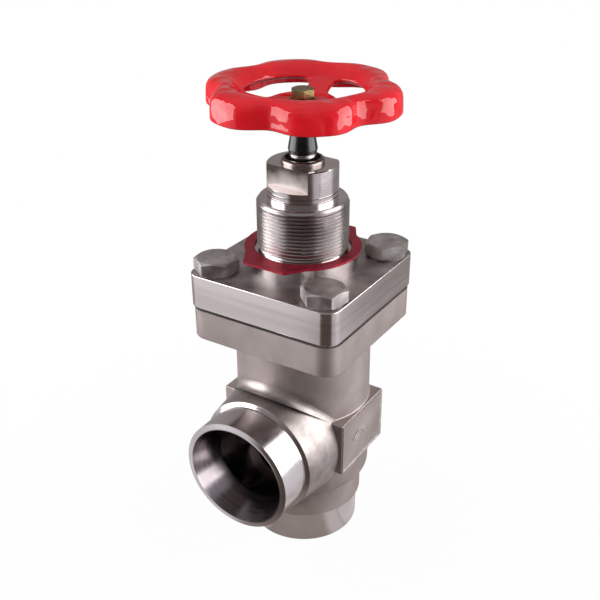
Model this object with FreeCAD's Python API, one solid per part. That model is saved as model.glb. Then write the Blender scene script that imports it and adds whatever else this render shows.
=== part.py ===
import FreeCAD, Part
import math
import os

# Angle stop valve with butt-weld pipe ends, drawn shut. Millimetres.
# Z runs up the spindle from the lower pipe end at z = 0, and the side pipe end points to -Y.

V = FreeCAD.Vector
up = V(0, 0, 1)
origin = V(0, 0, 0)

# Clearances
fit_gap = 0.05              # radial, between pieces that are assembled together
running_gap = 0.05          # between pieces that move on each other
seat_gap = 0.05             # under the seal ring with the valve shut

# Travel of the valve cone and the spindle
lift = 15.0

# Pipe ends: nominal 40 pipe, 48.3 outside
pipe_radius = 24.15
pipe_bore = 21.65
land_radius = 22.35         # outside of the flat weld land
bevel_length = 0.45
stub_length = 14.8          # machined length, from the end face
shoulder_radius = 25.75
shoulder_length = 1.0
port_radius = 17.5          # bore behind the tapered mouth
port_taper = 13.7
end_distance = 52.0         # each pipe end to the crossing of the two axes

# Body casting
underside = 27.7
body_radius_low = 28.95
body_radius_high = 28.45
body_rounding = 4.8
body_foot_land = 0.4        # straight wall above that rounding
chamber_radius = 22.5
chamber_floor = 33.0
seat_ledge = 2.2            # chamber floor outside the seat
seat_height = 2.0
passage_sill = 0.5          # from the seat up to the way into the side port
branch_root_radius = 28.3   # cast branch at the body
branch_inward = 12.0        # the branch runs this far into the body
branch_root = 17.0          # its distance from the axis
pad_face = 29.7
pad_width = 34.8
pad_height = 24.4
pad_rise = 2.2              # middle of the pads above the branch axis
pad_rounding = 0.4
saddle_rounding = 4.0       # cast fillet between the branch and the body
saddle_sink = 0.06          # overlap of that fillet with the metal under it
saddle_half_angle = 64.0    # it runs out behind the pads

# Square flanges
flange_half = 33.9
flange_low = 98.9
flange_thickness = 13.1
flange_corner = 7.2
flange_fillet = 2.0         # under the flange, to the body
flange_edge = 0.8
joint_gap = 1.1
bonnet_thickness = 14.0
bonnet_corner = 5.6
bonnet_edge = 0.4
gasket_recess = 0.9
gasket_outer = 28.4

# Bolts, M10 hexagon
bolt_offset = 25.0
bolt_radius = 4.95
bolt_length = 25.0
bolt_hole = 5.5
bolt_flats = 16.0
bolt_head = 6.0
bolt_turns = {"front_left": 28.0, "front_right": 18.0, "back_right": 44.0, "back_left": 9.0}

# Bonnet
spigot_length = 9.0
guide_radius = 12.5
guide_length = 23.1         # below the square plate
guide_chamfer = 1.0
spigot_chamfer = 1.5
collar_radius = 22.2
collar_height = 6.9
relief_radius = 17.3
relief_height = 1.4
cap_thread_radius = 18.4
cap_thread_length = 17.7
cap_thread_chamfer = 1.1
neck_radius = 14.1
neck_length = 15.4          # above the end of the cap thread
neck_groove_depth = 0.5
neck_groove_width = 0.6
neck_groove_rise = 1.4      # first groove above the end of the cap thread
neck_groove_pitch = 1.8
neck_flat = 10.0
neck_flat_height = 8.4
neck_flat_turn = -5.2
edge_break = 0.4

# Spindle
screw_radius = 8.0
shaft_radius = 5.2
foot_radius = 6.0
foot_length = 19.6
backseat_radius = 9.3
backseat_clear = 0.6        # under the bonnet with the valve open
undercut_radius = 7.2
square_half = 3.0
square_length = 8.7
post_radius = 3.6           # reduced end inside the sleeve
screw_hole = 2.5

# Packing, from the bottom: shoulder, disc springs, washer, rings, gland
packing_radius = 8.0
packing_depth = 28.5
packing_shoulder = 1.4
packing_ring_height = 4.0
packing_rings = 3
washer_height = 1.4
spring_discs = 4
spring_sheet = 0.62
gland_radius = 8.55
gland_head = 2.0
gland_depth = 9.5
gland_rounding = 1.3
gland_recess = 6.95
gland_recess_depth = 3.3
wiper_height = 1.2
o_ring_section = 0.83
o_ring_height = 4.0         # above the lower end of the gland

# Valve cone
cone_clear = 1.2            # radial, to the chamber
cone_rim = 5.0
seal_width = 5.25
seal_step = 1.05            # rim of the cone outside the seal ring
seal_height = 3.0
seal_cover = 1.3            # exposed height of the seal ring
hub_radius = 11.0
hub_rise = 27.95            # top of the hub above the seal ring
socket_radius = 6.1
socket_rise = 8.95
thrust_pad = 2.5
ball_radius = 1.5
ball_circle = 6.55
ball_rise = 9.0             # above the floor of the socket
ball_count = 8
plug_radius = 1.85
plug_length = 2.4
retainer_overlap = 1.9      # of the lip under the seal ring
retainer_thickness = 1.85
retainer_flats = 13.0
retainer_head = 5.3
retainer_screw = 4.0

# Marking ring, loose on the collar
ring_hole = 19.6
ring_round = 23.6
ring_thickness = 1.0
ring_rounding = 1.3
ring_tabs = ([(-10.6, -26.7), (8.4, -26.7), (13.4, -19.4), (-16.2, -17.1)],
             [(2.8, 26.4), (0.2, 22.0), (14.0, 18.9), (9.6, 26.2)])

# Sleeve between the gland and the handwheel
sleeve_length = 10.7
sleeve_clear = 1.9          # bare spindle between the gland and the sleeve
sleeve_radius_low = 5.75    # widest, above the foot
sleeve_radius_high = 4.2
sleeve_foot = 1.6
sleeve_foot_taper = 0.35

# Handwheel: six lobes, three spokes under the valleys
lobes = 6
lobe_angle = math.radians(-48.9)
rim_radius = 34.85          # mean radius of the skirt
rim_swing = 2.75            # lobes and valleys from the mean
rim_height = 10.3
rim_above_hub = 6.55        # lower edge of the rim above the foot of the hub
rim_wall = 2.6
dish_radius = 23.0
dish_depth = 5.1
dish_crest = 3.0            # rounding from the top of the rim into the dish
dish_foot = 1.2             # rounding at the foot of the dish wall
hub_disc = 11.5
hub_boss = 7.0
hub_height = 9.2
spoke_width = 8.6
spoke_angle = math.degrees(lobe_angle) + 180 / lobes    # the first one, under a valley
window_inner = 12.8
window_land = 0.8           # between a window and the wall of the dish
window_corner = 2.6
window_edge = 0.7
wheel_screw_flats = 8.0
wheel_screw_head = 3.5
wheel_screw_length = 12.2
wheel_screw_turn = 8.0
wheel_washer = 1.0
wheel_washer_radius = 5.0

# Heights and radii that follow from the sizes above
flange_high = flange_low + flange_thickness
bonnet_low = flange_high + joint_gap
bonnet_high = bonnet_low + bonnet_thickness
guide_low = bonnet_low - guide_length
collar_high = bonnet_high + collar_height
cap_thread_low = collar_high + relief_height + 1.0
cap_thread_high = cap_thread_low + cap_thread_length
neck_high = cap_thread_high + neck_length
packing_floor = neck_high - packing_depth
gland_top = neck_high + gland_head
gland_low = neck_high - gland_depth
gland_recess_low = gland_top - gland_recess_depth
rings_low = gland_low - packing_rings * packing_ring_height
seat_outer = chamber_radius - seat_ledge
cone_radius = chamber_radius - cone_clear
seal_outer = cone_radius - seal_step
seal_inner = seal_outer - seal_width
retainer_lip = seal_inner + retainer_overlap
seat_top = chamber_floor + seat_height
seal_low = seat_top + seat_gap
seal_high = seal_low + seal_height
socket_low = seal_high + socket_rise
hub_high = seal_high + hub_rise
ball_height = socket_low + ball_rise
backseat_high = guide_low - lift - backseat_clear
shaft_top = gland_top + sleeve_clear
hub_low = shaft_top + sleeve_length
hub_top = hub_low + hub_height
rim_low = hub_low + rim_above_hub
rim_high = rim_low + rim_height
dish_edge = rim_high - dish_depth

os.makedirs("parts", exist_ok=True)


def save(shape, node):
    shape.removeSplitter().exportStep(f"parts/{node}.step")


def turned(profile):
    """Solid of revolution about Z from (radius, height) corners."""
    wire = Part.makePolygon([V(r, 0, z) for r, z in profile + profile[:1]])
    return Part.Face(wire).revolve(origin, up, 360)


def tube(inner, outer, low, high):
    return turned([(inner, low), (outer, low), (outer, high), (inner, high)])


def rod(radius, low, high):
    return Part.makeCylinder(radius, high - low, V(0, 0, low))


def sideways(shape):
    """Turns a solid drawn up Z, with its end face at z = 0, into the side pipe end."""
    shape.rotate(origin, V(1, 0, 0), -90)
    shape.translate(V(0, -end_distance, end_distance))
    return shape


def hexagon(flats, low, high, turn=0.0, chamfer=True):
    """Hexagon prism about Z, its upper corners cut by a cone."""
    across = flats / math.sqrt(3)
    angles = [math.radians(60 * k + turn) for k in range(7)]
    corners = [V(across * math.cos(a), across * math.sin(a), low) for a in angles]
    prism = Part.Face(Part.makePolygon(corners)).extrude(V(0, 0, high - low))
    if not chamfer:
        return prism
    drop = (across + 0.1 - flats / 2) * math.tan(math.radians(30))
    return prism.common(turned([(0, low), (across + 0.1, low), (across + 0.1, high - drop),
                                (flats / 2 - 0.2, high), (0, high)]))


def square_plate(half, corner, low, high):
    plate = Part.makeBox(2 * half, 2 * half, high - low, V(-half, -half, low))
    upright = [e for e in plate.Edges if abs(e.Vertexes[0].Z - e.Vertexes[1].Z) > 1]
    return plate.makeFillet(corner, upright)


def level_edges(shape, height):
    """Edges that lie in the level plane at this height."""
    return [e for e in shape.Edges
            if e.BoundBox.ZLength < 0.01 and abs(e.BoundBox.ZMin - height) < 0.01]


def bolt_places():
    return {"front_left": (-bolt_offset, -bolt_offset), "front_right": (bolt_offset, -bolt_offset),
            "back_right": (bolt_offset, bolt_offset), "back_left": (-bolt_offset, bolt_offset)}


def holes(radius, low, high):
    return [Part.makeCylinder(radius, high - low, V(x, y, low)) for x, y in bolt_places().values()]


def ring_edges(shape, radius, height):
    """Circular edges about Z with this radius at this height."""
    circles = [e for e in shape.Edges if hasattr(e.Curve, "Radius") and abs(e.Curve.Axis.z) > 0.99]
    return [e for e in circles
            if abs(e.Curve.Radius - radius) < 0.02 and abs(e.CenterOfMass.z - height) < 0.02]


def pipe_end(root_radius, root):
    """Machined weld end with its shoulder, up Z from the end face, then the casting behind it."""
    return turned([(0, 0), (land_radius, 0), (pipe_radius, bevel_length), (pipe_radius, stub_length),
                   (shoulder_radius, stub_length + shoulder_length), (root_radius, root), (0, root)])


def pipe_mouth(depth):
    """Tapered mouth and port, as a solid to cut away."""
    flare = (pipe_bore - port_radius) / port_taper
    return turned([(0, -1), (pipe_bore + flare, -1), (port_radius, port_taper), (port_radius, depth),
                   (0, depth)])


def make_pads():
    """Two flat cast pads, one on each side of the body, as one block through it."""
    low = end_distance + pad_rise - pad_height / 2
    block = Part.makeBox(2 * pad_face, pad_width, pad_height, V(-pad_face, -pad_width / 2, low))
    return block.makeFillet(pad_rounding, block.Edges)


def body_radius(height):
    """Outside of the tapered body."""
    body_low = underside + body_rounding + body_foot_land
    share = (height - body_low) / (flange_low - body_low)
    return body_radius_low + share * (body_radius_high - body_radius_low)


def saddle_section(angle):
    """Section of the fillet between the branch and the body, at this angle round the branch."""
    reach = branch_root_radius + saddle_rounding - saddle_sink
    x = reach * math.sin(angle)
    z = end_distance + reach * math.cos(angle)
    y = -math.sqrt((body_radius(z) + saddle_rounding - saddle_sink) ** 2 - x * x)
    centre = V(x, y, z)
    to_body = V(-x, -y, 0).normalize()
    to_branch = V(-x, 0, end_distance - z).normalize()
    inward = (to_body + to_branch).normalize()
    start = centre + to_body * saddle_rounding
    end = centre + to_branch * saddle_rounding
    buried = centre + inward * ((saddle_rounding - saddle_sink) / to_body.dot(inward) + 1.0)
    arc = Part.Arc(start, centre + inward * saddle_rounding, end).toShape()
    return Part.Wire([arc, Part.makeLine(end, buried), Part.makeLine(buried, start)])


def make_saddle():
    stations = 17
    half = math.radians(saddle_half_angle)
    angles = [half * (2 * k / (stations - 1) - 1) for k in range(stations)]
    return Part.makeLoft([saddle_section(a) for a in angles], True, False)


def make_passage():
    """Way between the chamber and the side port, kept above the seat."""
    sill = seat_top + passage_sill
    above = Part.makeBox(2 * end_distance, end_distance, 2 * port_radius,
                         V(-end_distance, -end_distance, sill))
    return sideways(rod(port_radius, port_taper, end_distance)).common(above)


def make_housing():
    body_low = underside + body_rounding + body_foot_land
    body = turned([(0, underside), (body_radius_low, underside), (body_radius_low, body_low),
                   (body_radius_high, flange_low), (0, flange_low)])
    body = body.makeFillet(body_rounding, ring_edges(body, body_radius_low, underside))
    root_depth = end_distance - branch_root
    branch = sideways(pipe_end(branch_root_radius, root_depth))
    inner = sideways(rod(branch_root_radius, root_depth, root_depth + branch_inward))
    flange = square_plate(flange_half, flange_corner, flange_low, flange_high)
    flange = flange.makeFillet(flange_edge, level_edges(flange, flange_low))
    casting = body.fuse([branch, inner, flange]).removeSplitter()
    casting = casting.makeFillet(flange_fillet, ring_edges(casting, body_radius_high, flange_low))
    casting = casting.fuse([pipe_end(shoulder_radius, underside), make_saddle(), make_pads()])
    casting = casting.removeSplitter()
    chamber = rod(chamber_radius, chamber_floor, flange_high + 1)
    recess = rod(gasket_outer, flange_high - gasket_recess, flange_high + 1)
    ports = [pipe_mouth(chamber_floor + 1), sideways(pipe_mouth(end_distance - chamber_radius + 1.7))]
    casting = casting.cut([chamber, recess, make_passage()] + ports)
    casting = casting.cut(holes(bolt_radius + fit_gap, flange_low - 1, flange_high + 1))
    return casting.fuse(tube(port_radius, seat_outer, chamber_floor - 1, seat_top))


def neck_profile():
    """Outside of the bonnet above the square plate, up to the centre line."""
    thread_end = cap_thread_high + 1.5
    points = [(collar_radius, collar_high - edge_break), (collar_radius - edge_break, collar_high),
              (relief_radius, collar_high), (relief_radius, collar_high + relief_height),
              (cap_thread_radius, cap_thread_low), (cap_thread_radius, cap_thread_high),
              (cap_thread_radius - cap_thread_chamfer, thread_end), (neck_radius, thread_end)]
    for k in range(2):
        low = thread_end + neck_groove_rise + k * neck_groove_pitch
        high = low + neck_groove_width
        bottom = neck_radius - neck_groove_depth
        points += [(neck_radius, low), (bottom, low), (bottom, high), (neck_radius, high)]
    return points + [(neck_radius, neck_high - edge_break), (neck_radius - edge_break, neck_high),
                     (0, neck_high)]


def make_bonnet():
    plate = square_plate(flange_half, bonnet_corner, bonnet_low, bonnet_high)
    outline = level_edges(plate, bonnet_low) + level_edges(plate, bonnet_high)
    plate = plate.makeChamfer(bonnet_edge, outline)
    spigot = chamber_radius - fit_gap
    spigot_low = bonnet_low - spigot_length
    top = turned([(0, guide_low), (guide_radius - guide_chamfer, guide_low),
                  (guide_radius, guide_low + guide_chamfer), (guide_radius, spigot_low),
                  (spigot - spigot_chamfer, spigot_low), (spigot, spigot_low + spigot_chamfer),
                  (spigot, bonnet_high), (collar_radius, bonnet_high)] + neck_profile())
    whole = plate.fuse(top)
    for side in (-1, 1):
        slab = Part.makeBox(4 * neck_radius, neck_radius, 2 * neck_flat_height,
                            V(-2 * neck_radius, side * (neck_flat + neck_radius / 2) - neck_radius / 2,
                              neck_high - neck_flat_height))
        slab.rotate(origin, up, neck_flat_turn)
        whole = whole.cut(slab)
    bore = screw_radius + running_gap
    backseat = turned([(0, guide_low - 1), (backseat_radius + 0.5, guide_low - 1),
                       (backseat_radius + 0.5, guide_low), (bore, guide_low + 2), (0, guide_low + 2)])
    shoulder_low = packing_floor - packing_shoulder
    cuts = [backseat, rod(bore, guide_low, shoulder_low),
            rod(shaft_radius + running_gap, shoulder_low - 1, packing_floor + 1),
            rod(packing_radius, packing_floor, neck_high + 1)]
    return whole.cut(cuts + holes(bolt_hole, bonnet_low - 1, bonnet_high + 1))


def make_bolt(x, y, turn):
    tip = bonnet_high - bolt_length
    shank = turned([(0, tip), (bolt_radius - 0.9, tip), (bolt_radius, tip + 0.9),
                    (bolt_radius, bonnet_high), (0, bonnet_high)])
    bolt = hexagon(bolt_flats, bonnet_high, bonnet_high + bolt_head, turn).fuse(shank)
    bolt.translate(V(x, y, 0))
    return bolt


def make_marking_ring():
    """Thin ring with a wide label tab in front and a narrow one at the back right."""
    low = collar_high + running_gap
    plate = rod(ring_round, low, low + ring_thickness)
    for tab in ring_tabs:
        outline = Part.makePolygon([V(x, y, low) for x, y in tab + tab[:1]])
        plate = plate.fuse(Part.Face(outline).extrude(V(0, 0, ring_thickness)))
    plate = plate.cut(rod(ring_hole, low - 1, low + ring_thickness + 1)).removeSplitter()
    upright = [e for e in plate.Edges if e.Curve.TypeId == "Part::GeomLine" and e.tangentAt(0).z ** 2 > 0.9]
    corners = [e for e in upright if math.hypot(e.CenterOfMass.x, e.CenterOfMass.y) > ring_round + 2]
    return plate.makeFillet(ring_rounding, corners)


def make_gland():
    inner = shaft_radius + running_gap
    outer = packing_radius - fit_gap
    gland = turned([(inner, gland_low), (outer, gland_low), (outer, neck_high), (gland_radius, neck_high),
                    (gland_radius, gland_top), (gland_recess, gland_top),
                    (gland_recess, gland_recess_low), (inner, gland_recess_low)])
    gland = gland.makeFillet(gland_rounding, ring_edges(gland, gland_radius, gland_top))
    middle = gland_low + o_ring_height
    groove = tube(shaft_radius, shaft_radius + 2 * o_ring_section + 0.1, middle - 0.9, middle + 0.9)
    return gland.cut(groove)


def make_packing():
    inner = shaft_radius + running_gap
    outer = packing_radius - fit_gap
    packing = tube(inner, outer, rings_low, gland_low)
    joints = [rings_low + k * packing_ring_height for k in range(1, packing_rings)]
    return packing.cut([tube(outer - 0.4, outer + 1, z - 0.2, z + 0.2) for z in joints])


def make_spring():
    """Stack of coned discs, set alternately."""
    inner = shaft_radius + 0.3
    outer = packing_radius - 0.3
    step = (rings_low - washer_height - packing_floor) / spring_discs
    rise = step - spring_sheet
    discs = []
    for k in range(spring_discs):
        base = packing_floor + k * step
        inside = base + rise * (1 - k % 2)
        outside = base + rise * (k % 2)
        discs.append(turned([(inner, inside), (outer, outside), (outer, outside + spring_sheet),
                             (inner, inside + spring_sheet)]))
    return Part.makeCompound(discs)


def make_spindle():
    tip = socket_low + thrust_pad + running_gap
    foot_high = tip + foot_length - thrust_pad
    screw_high = packing_floor - packing_shoulder - lift - 1.6
    blank = turned([(0, tip), (foot_radius - 0.6, tip), (foot_radius, tip + 0.6), (foot_radius, foot_high),
                    (backseat_radius, foot_high + 2.4), (backseat_radius, backseat_high - 1.9),
                    (undercut_radius, backseat_high), (undercut_radius, backseat_high + 4.6),
                    (screw_radius, backseat_high + 5.4), (screw_radius, screw_high - 2.0),
                    (shaft_radius, screw_high), (shaft_radius, shaft_top), (post_radius, shaft_top),
                    (post_radius, hub_low), (0, hub_low)])
    top = hub_low + square_length
    square = Part.makeBox(2 * square_half, 2 * square_half, square_length,
                          V(-square_half, -square_half, hub_low))
    square = square.common(rod(square_half + 1.05, hub_low, top))
    groove = Part.makeTorus(ball_circle, ball_radius + running_gap + 0.03, V(0, 0, ball_height))
    return blank.fuse(square).cut([groove, rod(screw_hole, hub_low - 4, top + 1)])


def make_cone():
    step = seal_low + seal_cover
    blank = turned([(0, seal_high), (seal_outer, seal_high), (seal_outer, step),
                    (cone_radius - edge_break, step), (cone_radius, step + edge_break),
                    (cone_radius, seal_high + cone_rim), (cone_radius - 1, seal_high + cone_rim + 1),
                    (hub_radius + 2.5, seal_high + cone_rim + 2.5), (hub_radius, seal_high + cone_rim + 5.5),
                    (hub_radius, hub_high - 0.8), (hub_radius - 0.8, hub_high), (0, hub_high)])
    cuts = [rod(socket_radius, socket_low, hub_high + 1),
            Part.makeTorus(ball_circle, ball_radius, V(0, 0, ball_height)),
            rod(retainer_screw + fit_gap, seal_high - 1, socket_low - 1.5),
            Part.makeCylinder(plug_radius + fit_gap, hub_radius, V(0, 0, ball_height), V(1, 0, 0))]
    return blank.cut(cuts)


def make_retainer():
    bore = retainer_screw + fit_gap
    low = seal_low - retainer_thickness
    return turned([(bore, low), (retainer_lip - 0.6, low), (retainer_lip, low + 0.6),
                   (retainer_lip, seal_low), (seal_inner - fit_gap, seal_low),
                   (seal_inner - fit_gap, seal_high), (bore, seal_high)])


def make_retainer_screw():
    low = seal_low - retainer_thickness
    head = hexagon(retainer_flats, low - retainer_head, low, chamfer=False)
    return head.fuse(rod(retainer_screw, low, socket_low - 2.0))


def make_balls():
    balls = []
    for k in range(ball_count):
        angle = 2 * math.pi * (k + 0.5) / ball_count
        centre = V(ball_circle * math.cos(angle), ball_circle * math.sin(angle), ball_height)
        balls.append(Part.makeSphere(ball_radius - 0.02, centre))
    return Part.makeCompound(balls)


def make_ball_plug():
    start = hub_radius - plug_length - 0.3
    return Part.makeCylinder(plug_radius, plug_length, V(start, 0, ball_height), V(1, 0, 0))


def lobed(inset, share, height):
    """Closed smooth wire with broad lobes and narrower valleys, inside the skirt by inset."""
    points = []
    for k in range(16 * lobes):
        angle = 2 * math.pi * k / (16 * lobes)
        wave = math.cos(lobes * (angle - lobe_angle))
        swing = rim_swing * share * (1 - 2 * ((1 - wave) / 2) ** 2)
        radius = rim_radius - inset + swing
        points.append(V(radius * math.cos(angle), radius * math.sin(angle), height))
    curve = Part.BSplineCurve()
    curve.interpolate(points, PeriodicFlag=True)
    return Part.Wire(curve.toShape())


def make_windows():
    """Three openings between the spokes, as solids to cut away."""
    windows = tube(window_inner, dish_radius - window_land, hub_low, rim_high)
    windows.rotate(origin, up, spoke_angle)
    spokes = []
    for k in range(3):
        bar = Part.makeBox(rim_radius, spoke_width, 3 * rim_height,
                           V(0, -spoke_width / 2, hub_low - rim_height))
        bar.rotate(origin, up, spoke_angle + 120 * k)
        spokes.append(bar)
    windows = windows.cut(spokes)
    upright = [e for e in windows.Edges if abs(e.Vertexes[0].Z - e.Vertexes[-1].Z) > 5]
    return windows.makeFillet(window_corner, upright)


def edges_on(shape, tool):
    """Edges of the shape that lie on the sides of the tool, its upright corners left out."""
    found = []
    for edge in shape.Edges:
        first, last = edge.ParameterRange
        spots = [edge.valueAt(first + share * (last - first)) for share in (0.25, 0.5, 0.75)]
        if edge.Length > 0.3 and abs(spots[2].z - spots[0].z) < 0.45 * edge.Length:
            if all(tool.distToShape(Part.Vertex(spot))[0] < 0.001 for spot in spots):
                found.append(edge)
    return found


def make_handwheel():
    skirt = [lobed(0, 1, rim_low), lobed(-0.1, 1, rim_high - 7.45), lobed(0.1, 0.96, rim_high - 4.45),
             lobed(0.8, 0.79, rim_high - 2.25), lobed(2.5, 0.5, rim_high - 0.65), lobed(5.3, 0.21, rim_high)]
    inside = [lobed(0.1 + rim_wall, 0.96, rim_low - 1), lobed(0.3 + rim_wall, 0.92, rim_high - 6.85),
              lobed(1.4 + rim_wall, 0.75, rim_high - 4.25), lobed(3.5 + rim_wall, 0.42, rim_high - 2.65)]
    outer = Part.makeLoft(skirt, True, False)
    hollow = Part.makeLoft(inside, True, False)
    wall = dish_radius + rim_wall
    centre = turned([(0, hub_low), (hub_boss, hub_low), (hub_boss, hub_top - 3.8),
                     (hub_boss + 1.2, hub_top - 2.8), (hub_disc, hub_top - 2.6),
                     (dish_radius - 0.6, dish_edge - 2.6), (wall - 0.6, dish_edge - 1.2),
                     (wall, dish_edge - 0.4), (wall, rim_high - 1.85), (0, rim_high - 1.85)])
    dish = turned([(0, hub_top), (hub_disc, hub_top), (dish_radius, dish_edge),
                   (dish_radius, rim_high + 1), (0, rim_high + 1)])
    for shape in (centre, dish):
        shape.rotate(origin, up, spoke_angle)
    wheel = outer.cut(hollow).fuse(centre).cut(dish)
    wheel = wheel.makeFillet(dish_crest, ring_edges(wheel, dish_radius, rim_high))
    wheel = wheel.makeFillet(dish_foot, ring_edges(wheel, dish_radius, dish_edge))
    windows = make_windows()
    wheel = wheel.cut(windows)
    wheel = wheel.makeFillet(window_edge, edges_on(wheel, windows))
    side = square_half + fit_gap
    return wheel.cut(Part.makeBox(2 * side, 2 * side, hub_height + 3, V(-side, -side, hub_low - 1)))


def make_sleeve():
    bore = post_radius + fit_gap
    return turned([(bore, shaft_top), (sleeve_radius_low - sleeve_foot_taper, shaft_top),
                   (sleeve_radius_low, shaft_top + sleeve_foot), (sleeve_radius_high, hub_low),
                   (bore, hub_low)])


def make_wheel_screw():
    low = hub_top + wheel_washer
    head = hexagon(wheel_screw_flats, low, low + wheel_screw_head, wheel_screw_turn)
    return head.fuse(rod(screw_hole - fit_gap, low - wheel_screw_length - wheel_washer, low))


def save_body():
    save(make_housing(), "housing")
    save(make_bonnet(), "bonnet")
    gasket_low = flange_high - gasket_recess
    save(tube(chamber_radius + fit_gap, gasket_outer - fit_gap, gasket_low, bonnet_low), "flange_gasket")
    for name, (x, y) in bolt_places().items():
        save(make_bolt(x, y, bolt_turns[name]), f"bolt_{name}")
    save(make_marking_ring(), "marking_ring")


def save_packing():
    inner = shaft_radius + running_gap
    save(make_gland(), "packing_gland")
    middle = shaft_radius + o_ring_section + 0.04
    save(Part.makeTorus(middle, o_ring_section, V(0, 0, gland_low + o_ring_height)), "gland_o_ring")
    wiper_high = gland_recess_low + wiper_height
    save(tube(inner, gland_recess - fit_gap, gland_recess_low, wiper_high), "wiper_ring")
    save(make_packing(), "packing_rings")
    save(tube(inner, packing_radius - fit_gap, rings_low - washer_height, rings_low), "packing_washer")
    save(make_spring(), "packing_spring")


def save_spindle():
    save(make_spindle(), "spindle")
    save(make_sleeve(), "spindle_sleeve")
    save(make_handwheel(), "handwheel")
    save(tube(screw_hole + 0.2, wheel_washer_radius, hub_top, hub_top + wheel_washer), "handwheel_washer")
    save(make_wheel_screw(), "handwheel_screw")


def save_cone():
    save(make_cone(), "valve_cone")
    save(tube(seal_inner, seal_outer - fit_gap, seal_low, seal_high), "seat_seal_ring")
    save(make_retainer(), "seal_retainer")
    save(make_retainer_screw(), "retainer_screw")
    save(rod(socket_radius - 0.2, socket_low, socket_low + thrust_pad), "thrust_pad")
    save(make_balls(), "locking_balls")
    save(make_ball_plug(), "ball_plug")


save_body()
save_packing()
save_spindle()
save_cone()
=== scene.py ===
import bpy
import bmesh
import math
from mathutils import Matrix, Vector


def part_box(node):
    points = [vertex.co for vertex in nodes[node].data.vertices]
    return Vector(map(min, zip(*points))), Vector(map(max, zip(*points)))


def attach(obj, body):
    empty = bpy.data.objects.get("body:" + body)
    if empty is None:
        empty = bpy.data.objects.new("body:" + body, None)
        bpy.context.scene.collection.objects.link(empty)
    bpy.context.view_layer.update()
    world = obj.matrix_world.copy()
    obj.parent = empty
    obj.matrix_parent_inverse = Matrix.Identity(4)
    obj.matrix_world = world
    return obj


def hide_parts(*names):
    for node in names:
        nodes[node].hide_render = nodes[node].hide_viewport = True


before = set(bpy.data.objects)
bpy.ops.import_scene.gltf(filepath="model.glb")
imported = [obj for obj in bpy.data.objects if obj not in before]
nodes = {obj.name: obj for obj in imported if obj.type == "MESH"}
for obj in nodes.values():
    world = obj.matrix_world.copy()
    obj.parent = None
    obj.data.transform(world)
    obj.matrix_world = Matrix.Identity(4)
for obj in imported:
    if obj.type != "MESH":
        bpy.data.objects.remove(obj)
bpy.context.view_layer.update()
mm = 0.001
print("frame loaded,", len(nodes), "nodes")


# small helpers

def colour(hexValue):  # sRGB hex to linear
    channels = [int(hexValue[i:i + 2], 16) / 255 for i in (1, 3, 5)]
    linear = [c / 12.92 if c <= 0.04045 else ((c + 0.055) / 1.055) ** 2.4 for c in channels]
    return linear + [1.0]


def addNode(tree, kind, settings=None, links=None, output=0):
    # capital names and numbers are sockets, the rest are properties of the node
    node = tree.nodes.new(kind)
    for name, value in (settings or {}).items():
        if isinstance(name, int) or name[0].isupper():
            node.inputs[name].default_value = value
        else:
            setattr(node, name, value)
    for name, source in (links or {}).items():
        tree.links.new(source, node.inputs[name])
    return node.outputs[output]


def startMaterial(name):
    material = bpy.data.materials.new(name)
    material.use_nodes = True
    tree = material.node_tree
    surface = tree.nodes["Principled BSDF"]
    place = addNode(tree, "ShaderNodeTexCoord", output="Object")
    return material, tree, surface, place


def linkSurface(tree, surface, links):
    for name, source in links.items():
        tree.links.new(source, surface.inputs[name])


def blendColours(tree, pattern, dark, light, start=0.35, end=0.65):
    share = addNode(tree, "ShaderNodeMapRange", {"From Min": start, "From Max": end}, {"Value": pattern})
    return addNode(tree, "ShaderNodeMix", {"data_type": "RGBA", 6: colour(dark), 7: colour(light)},
                   {0: share}, 2)


def between(low, high):  # settings that spread a noise pattern, mostly from 0.3 to 0.7, over a range
    return {"From Min": 0.3, "From Max": 0.7, "To Min": low, "To Max": high}


def grain(size):  # texture scale for a pattern of this many millimetres
    return 1000 / size


def paint(nodeName, material):
    mesh = nodes[nodeName].data
    for k in range(len(mesh.materials)):
        mesh.materials[k] = material


def newPiece(name, bm, material, body, smooth=30):  # faces that meet at over this many degrees stay sharp
    bmesh.ops.recalc_face_normals(bm, faces=bm.faces)
    mesh = bpy.data.meshes.new(name)
    bm.to_mesh(mesh)
    bm.free()
    mesh.materials.append(material)
    piece = bpy.data.objects.new(name, mesh)
    bpy.context.scene.collection.objects.link(piece)
    mesh.shade_smooth()
    mesh.set_sharp_from_angle(angle=math.radians(smooth))
    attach(piece, body)
    return piece


# camera at the photograph's view

view = {
    "azimuth": 32.284, "elevation": 28.957, "roll": -0.18,  # degrees
    "distance": 379.258, "aimHeight": 100.0,  # mm
    "focalPixels": 901.1, "centreX": 303.363, "centreY": 320.003, "frame": 600,  # pixels
}


def makeCamera():
    az, el, roll = (math.radians(view[k]) for k in ("azimuth", "elevation", "roll"))
    back = Vector((math.sin(az) * math.cos(el), -math.cos(az) * math.cos(el), math.sin(el)))
    right = Vector((math.cos(az), math.sin(az), 0))
    up = back.cross(right)
    turnedRight = right * math.cos(roll) + up * math.sin(roll)
    turnedUp = up * math.cos(roll) - right * math.sin(roll)
    data = bpy.data.cameras.new("camera")
    data.lens = view["focalPixels"] * data.sensor_width / view["frame"]
    data.shift_x = (view["frame"] / 2 - view["centreX"]) / view["frame"]
    data.shift_y = (view["centreY"] - view["frame"] / 2) / view["frame"]
    data.clip_start = 0.01
    camera = bpy.data.objects.new("camera", data)
    bpy.context.scene.collection.objects.link(camera)
    place = Vector((0, 0, view["aimHeight"])) + back * view["distance"]
    turn = Matrix((turnedRight, turnedUp, back)).transposed().to_4x4()
    camera.matrix_world = Matrix.Translation(place * mm) @ turn
    bpy.context.scene.camera = camera


# plain floor, soft boxes to the left and right, pale world

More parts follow.
